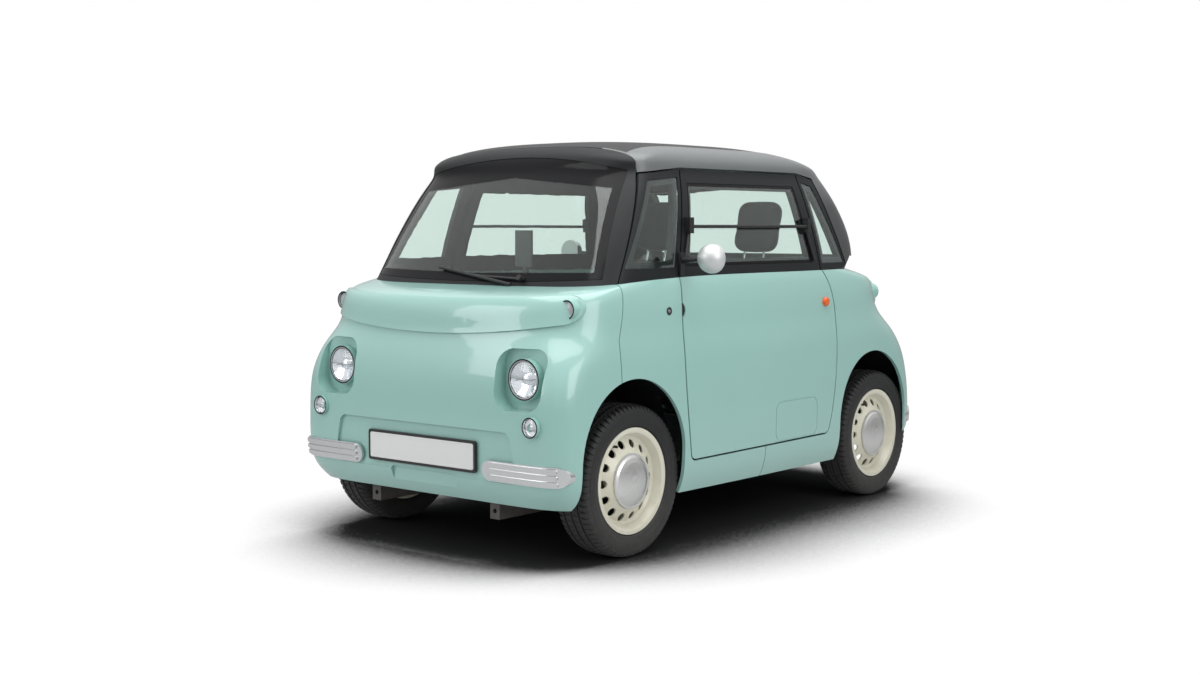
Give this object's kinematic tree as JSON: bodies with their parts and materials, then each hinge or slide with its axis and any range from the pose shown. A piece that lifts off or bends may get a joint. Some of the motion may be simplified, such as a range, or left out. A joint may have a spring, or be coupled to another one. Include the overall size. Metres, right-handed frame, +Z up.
{
  "type": "microcar",
  "caption": "Short electric city car with a rounded moulded body, a hinged door on each side, steered front wheels and a closed cabin with tall glass.",
  "frame": {"origin": "on the ground, at the middle of the car's length and width", "axes": "+X to the car's left, +Y to its rear, +Z up; the nose looks along -Y"},
  "size_m": [1.6702, 2.5324, 1.53],
  "materials": {
    "body_mint": "gloss",
    "frame_grey": "matt",
    "roof_dark": "gloss",
    "glass": "clear",
    "black_plastic": "matt",
    "silver": "satin",
    "floor_grey": "matt",
    "frame_steel": "satin",
    "battery_case": "satin",
    "motor_cast": "matt",
    "tyre": "matt",
    "rim_cream": "gloss",
    "cap_silver": "brushed",
    "seat_fabric": "woven",
    "chrome": "polished",
    "lamp_clear": "clear",
    "lamp_red": "gloss"
  },
  "bodies": {
    "car_body": {"battery_pack": "battery_case", "body_frame": "frame_steel", "bumper_blades": "silver", "chassis_frame": "frame_steel", "dashboard": "black_plastic", "drive_unit": "motor_cast", "floor_pan": "floor_grey", "front_fascia": "body_mint", "front_side_panels": "body_mint", "front_suspension": "frame_steel", "head_lamp_lenses": "lamp_clear", "lamp_bezels": "chrome", "nose_panel": "body_mint", "quarter_windows": "glass", "rear_axle": "frame_steel", "rear_fascia": "body_mint", "rear_side_panels": "body_mint", "rear_window": "glass", "roof_panel": "roof_dark", "roof_shell": "frame_grey", "seats": "seat_fabric", "side_frames": "frame_grey", "tail_lamp_lenses": "lamp_red", "tail_panel": "body_mint", "wheel_houses": "black_plastic", "windscreen": "glass", "windscreen_surround": "frame_grey", "wiper": "black_plastic"},
    "left_door": {"left_door_shell": "body_mint", "left_window_frame": "frame_grey", "left_door_glass": "glass", "left_window_rail": "black_plastic", "left_mirror": "silver"},
    "right_door": {"right_door_shell": "body_mint", "right_window_frame": "frame_grey", "right_door_glass": "glass", "right_window_rail": "black_plastic", "right_mirror": "silver"},
    "left_steering": {"left_knuckle": "frame_steel"},
    "right_steering": {"right_knuckle": "frame_steel"},
    "handwheel": {"steering_wheel": "black_plastic"},
    "left_front_wheel": {"left_front_tyre": "tyre", "left_front_rim": "rim_cream", "left_front_hub_cap": "cap_silver"},
    "right_front_wheel": {"right_front_tyre": "tyre", "right_front_rim": "rim_cream", "right_front_hub_cap": "cap_silver"},
    "left_rear_wheel": {"left_rear_tyre": "tyre", "left_rear_rim": "rim_cream", "left_rear_hub_cap": "cap_silver"},
    "right_rear_wheel": {"right_rear_tyre": "tyre", "right_rear_rim": "rim_cream", "right_rear_hub_cap": "cap_silver"}
  },
  "joints": [
    {"name": "steering_turn", "type": "hinge", "parent": "car_body", "child": "handwheel", "pos_m": [0.28, -0.33, 0.8], "axis": [0, 0.8829, 0.4695], "range_deg": [-480, 480]},
    {"name": "left_front_steer", "type": "hinge", "parent": "car_body", "child": "left_steering", "pos_m": [0.49, -0.8275, 0.2785], "axis": [0, 0, 1], "range_deg": [-30, 30]},
    {"name": "right_front_steer", "type": "hinge", "parent": "car_body", "child": "right_steering", "pos_m": [-0.49, -0.8275, 0.2785], "axis": [0, 0, 1], "range_deg": [-30, 30]},
    {"name": "left_front_roll", "type": "hinge", "parent": "left_steering", "child": "left_front_wheel", "pos_m": [0.589, -0.8275, 0.2785], "axis": [1, 0, 0], "continuous": true},
    {"name": "right_front_roll", "type": "hinge", "parent": "right_steering", "child": "right_front_wheel", "pos_m": [-0.589, -0.8275, 0.2785], "axis": [1, 0, 0], "continuous": true},
    {"name": "left_rear_roll", "type": "hinge", "parent": "car_body", "child": "left_rear_wheel", "pos_m": [0.589, 0.9035, 0.2785], "axis": [1, 0, 0], "continuous": true},
    {"name": "right_rear_roll", "type": "hinge", "parent": "car_body", "child": "right_rear_wheel", "pos_m": [-0.589, 0.9035, 0.2785], "axis": [1, 0, 0], "continuous": true},
    {"name": "left_door_swing", "type": "hinge", "parent": "car_body", "child": "left_door", "pos_m": [0.68855, 0.4455, 0.43], "axis": [-0.0566, 0, 0.9984], "range_deg": [0, 75]},
    {"name": "right_door_swing", "type": "hinge", "parent": "car_body", "child": "right_door", "pos_m": [-0.68855, -0.4715, 0.43], "axis": [0.0566, 0, 0.9984], "range_deg": [0, 75]}
  ],
  "couplings": [
    {"joint": "left_front_steer", "follows": "steering_turn", "ratio": 0.0625},
    {"joint": "right_front_steer", "follows": "steering_turn", "ratio": 0.0625}
  ]
}
